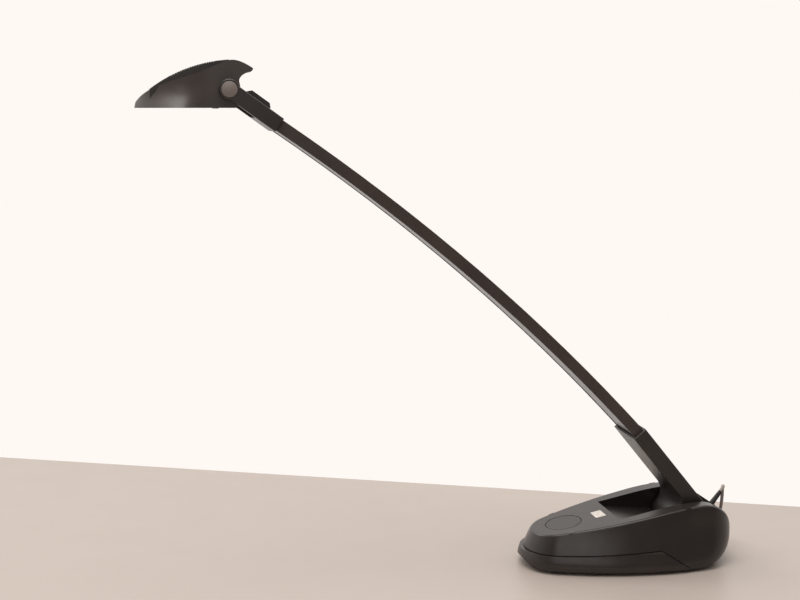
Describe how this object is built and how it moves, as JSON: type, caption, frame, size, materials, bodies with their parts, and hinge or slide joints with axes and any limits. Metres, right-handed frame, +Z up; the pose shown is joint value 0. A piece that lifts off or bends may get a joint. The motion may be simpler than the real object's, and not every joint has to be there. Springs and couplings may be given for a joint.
{
  "type": "desk lamp",
  "caption": "Halogen desk lamp: heavy wedge base with pen tray and rotary switch, long bowed flat arm on a friction hinge, small tilting head with a finned top.",
  "frame": {"origin": "on the desk under the middle of the base, in the lamp's plane of symmetry", "axes": "+Z up, -X from the base towards the head, +Y to the lamp's left when seen from its rear, all mirrored across the plane Y = 0 apart from the cord and the knob's notch"},
  "size_m": [0.6056, 0.1881, 0.5056],
  "materials": {
    "shell_black": "fine textured matte black moulding",
    "plinth_black": "fine textured matte black moulding",
    "foot_rubber": "soft black rubber",
    "screw_steel": "zinc plated",
    "ballast_iron": "black lacquered cast iron",
    "core_steel": "varnished laminations",
    "winding_copper": "enamelled copper wire under tape",
    "strap_steel": "zinc plated strip",
    "terminal_plastic": "pale moulding",
    "switch_plastic": "black moulding",
    "knob_black": "fine matte black moulding",
    "axle_steel": "bright steel",
    "washer_plastic": "pale friction plastic",
    "relief_rubber": "black soft moulding",
    "cord_grey": "pale grey sheath",
    "plug_grey": "pale grey moulding",
    "plug_brass": "nickel plated brass",
    "arm_black": "matte black moulding",
    "blade_aluminium": "matte black coated aluminium",
    "cover_black": "matte black strip",
    "lead_black": "black sheath",
    "cap_black": "satin dark plastic",
    "bush_plastic": "pale bearing plastic",
    "head_black": "fine matte black moulding",
    "grille_black": "fine matte black moulding",
    "reflector_bright": "bright anodised",
    "holder_ceramic": "white glazed ceramic",
    "capsule_glass": "clear quartz glass",
    "pane_glass": "clear safety glass"
  },
  "bodies": {
    "base": {"base_shell": "shell_black", "base_plinth": "plinth_black", "rubber_feet": "foot_rubber", "base_screws": "screw_steel", "ballast_plate": "ballast_iron", "transformer_core": "core_steel", "transformer_winding": "winding_copper", "transformer_straps": "strap_steel", "transformer_screws": "screw_steel", "terminal_block": "terminal_plastic", "rotary_switch": "switch_plastic", "pivot_axle": "axle_steel", "pivot_nuts": "axle_steel", "friction_washers": "washer_plastic", "strain_relief": "relief_rubber", "power_cord": "cord_grey", "power_cord_coil": "cord_grey", "power_cord_tail": "cord_grey", "mains_plug": "plug_grey", "plug_pins": "plug_brass"},
    "knob": {"switch_knob": "knob_black"},
    "arm": {"arm_foot": "arm_black", "foot_bushes": "bush_plastic", "arm_blade": "blade_aluminium", "arm_cover": "cover_black", "arm_lead": "lead_black", "head_fork": "arm_black", "head_pin": "axle_steel", "pin_caps": "cap_black"},
    "head": {"head_shell": "head_black", "head_grille": "grille_black", "reflector": "reflector_bright", "lamp_holder": "holder_ceramic", "halogen_capsule": "capsule_glass", "capsule_pins": "screw_steel", "glass_pane": "pane_glass", "glass_clips": "strap_steel", "clip_screws": "screw_steel", "head_bushes": "bush_plastic"}
  },
  "joints": [
    {"name": "knob_turn", "type": "hinge", "parent": "base", "child": "knob", "pos_m": [-0.064, 0, 0.0413], "axis": [-0.1908, 0, 0.9816], "range_deg": [0, 90]},
    {"name": "arm_tilt", "type": "hinge", "parent": "base", "child": "arm", "pos_m": [0.068, 0, 0.034], "axis": [0, 1, 0], "range_deg": [-35, 30]},
    {"name": "head_tilt", "type": "hinge", "parent": "arm", "child": "head", "pos_m": [-0.39899, 0, 0.4789], "axis": [0, 1, 0], "range_deg": [-35, 30]}
  ]
}
